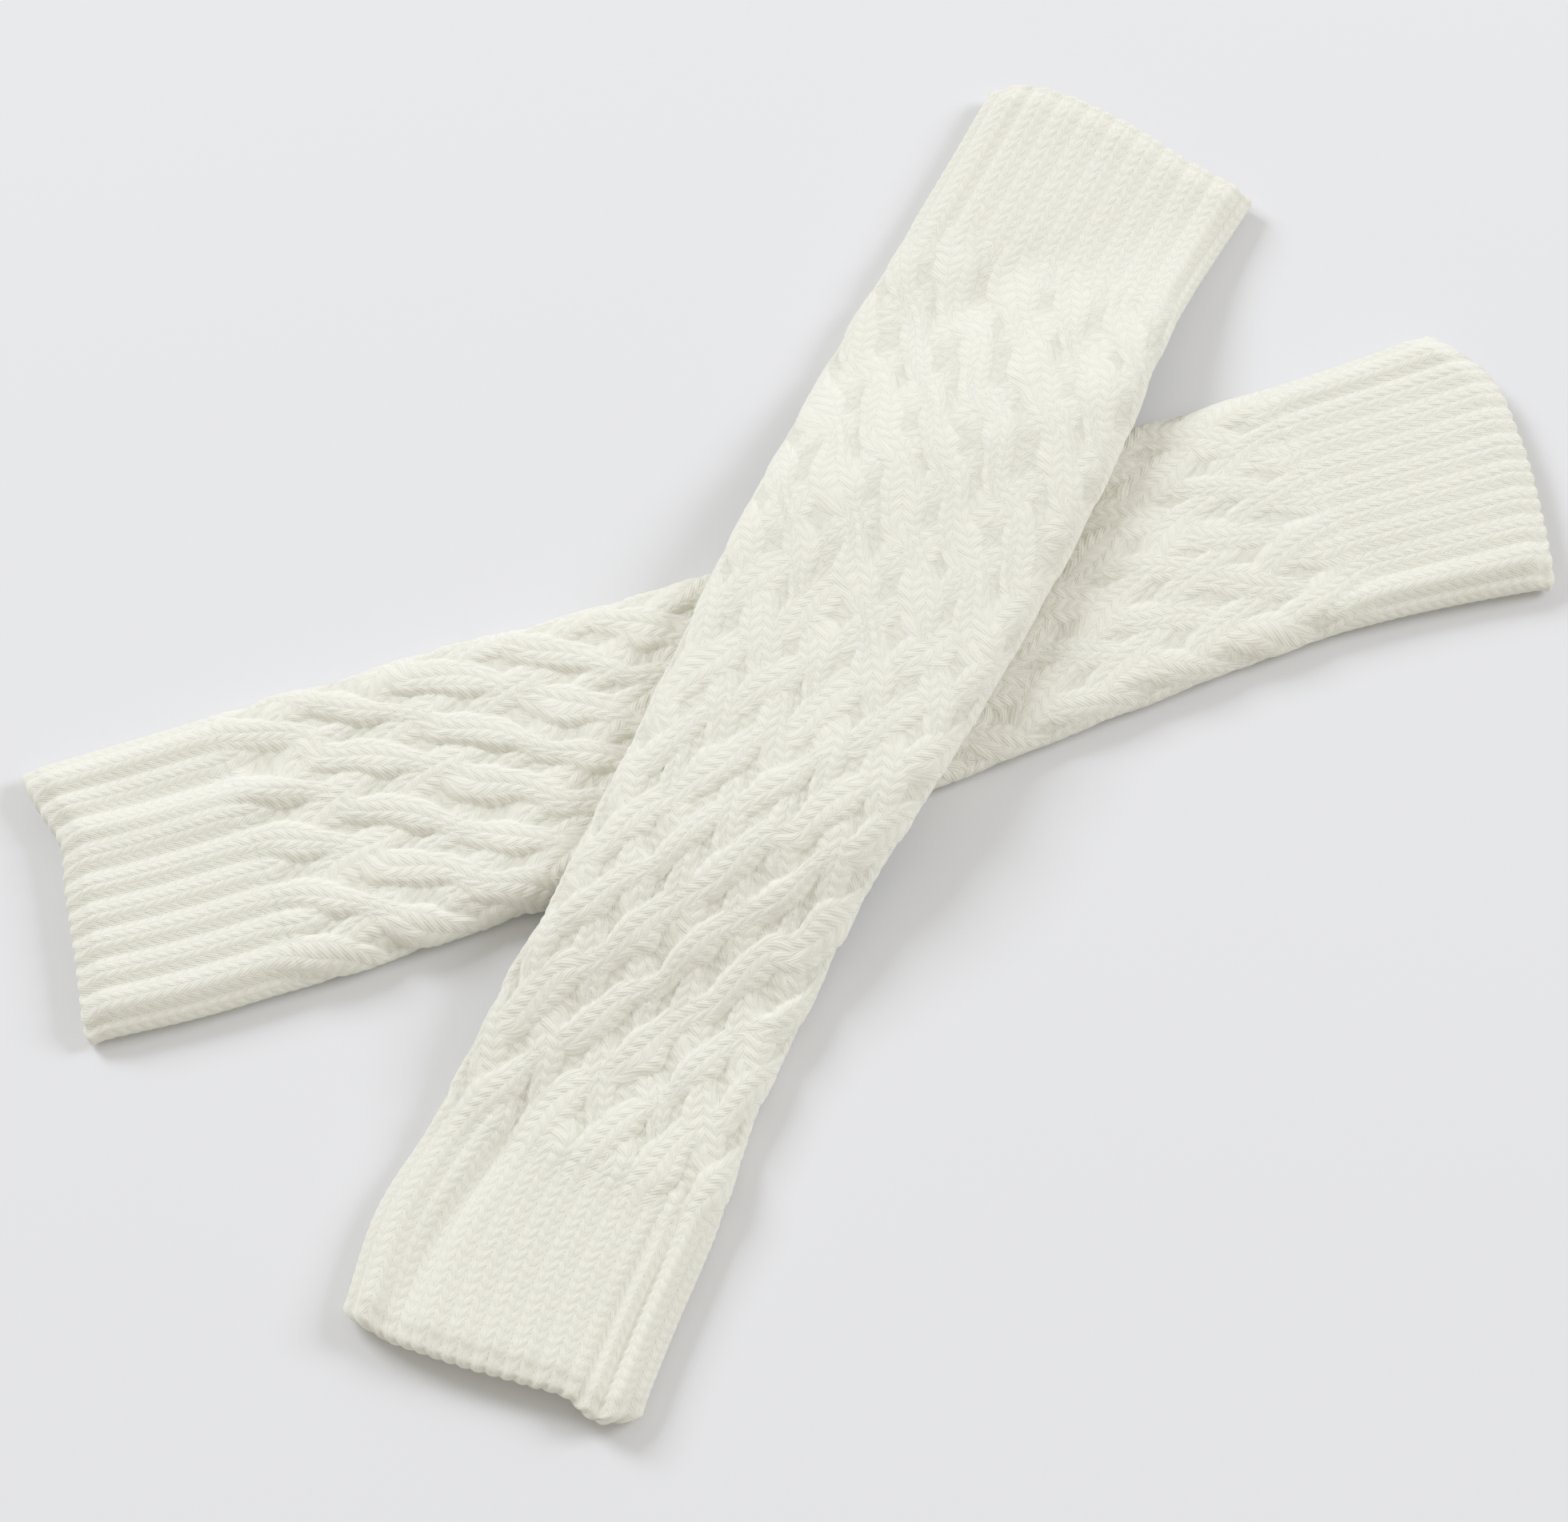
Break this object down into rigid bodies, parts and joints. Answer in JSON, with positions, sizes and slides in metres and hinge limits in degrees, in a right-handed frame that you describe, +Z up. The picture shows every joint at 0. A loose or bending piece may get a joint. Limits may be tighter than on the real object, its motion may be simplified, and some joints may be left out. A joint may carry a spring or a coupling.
{
  "type": "pair of leg warmers",
  "caption": "Pair of ribbed, cable-knit leg warmers lying flat and crossed, each a hollow knitted tube open at both ends.",
  "frame": {"origin": "middle of the pair's outline seen from above, on the surface that it lies on", "axes": "+Z up from that surface, +X to the right and +Y away from the viewer of the crossed pair"},
  "size_m": [0.4223, 0.4183, 0.0246],
  "materials": {
    "knit": "matt, soft ivory yarn with a light nap"
  },
  "bodies": {
    "root": {"under_left_cuff": "knit", "under_cable_leg": "knit", "under_right_cuff": "knit", "over_lower_cuff": "knit", "over_cable_leg": "knit", "over_upper_cuff": "knit"}
  },
  "joints": []
}
